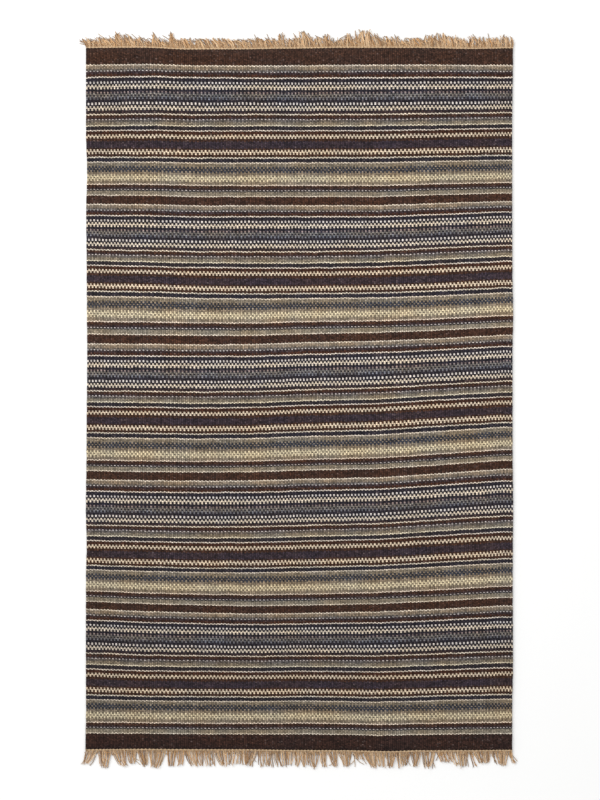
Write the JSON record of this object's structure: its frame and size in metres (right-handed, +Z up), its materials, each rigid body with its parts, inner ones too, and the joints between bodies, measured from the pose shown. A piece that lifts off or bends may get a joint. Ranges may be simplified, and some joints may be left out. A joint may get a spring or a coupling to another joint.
{
  "type": "kilim rug",
  "caption": "Flat-woven rectangular jute kilim rug with crosswise stripes, corded warp ribs and a short cut fringe at both ends; lies flat on a floor.",
  "frame": {"origin": "centre of the rug's outline with its fringes, on the floor plane under it", "axes": "+X across the rug to the right of the picture, +Y along the rug towards the far fringe at the top of the picture, +Z up from the floor"},
  "size_m": [0.9244, 1.5728, 0.0055],
  "materials": {
    "dyed_jute_weave": "matt flat weave with crosswise stripes, warp ribs about 4 mm apart",
    "natural_jute_yarn": "matt undyed twisted jute"
  },
  "bodies": {
    "root": {"woven_field": "dyed_jute_weave", "far_fringe": "natural_jute_yarn", "near_fringe": "natural_jute_yarn"}
  },
  "joints": []
}
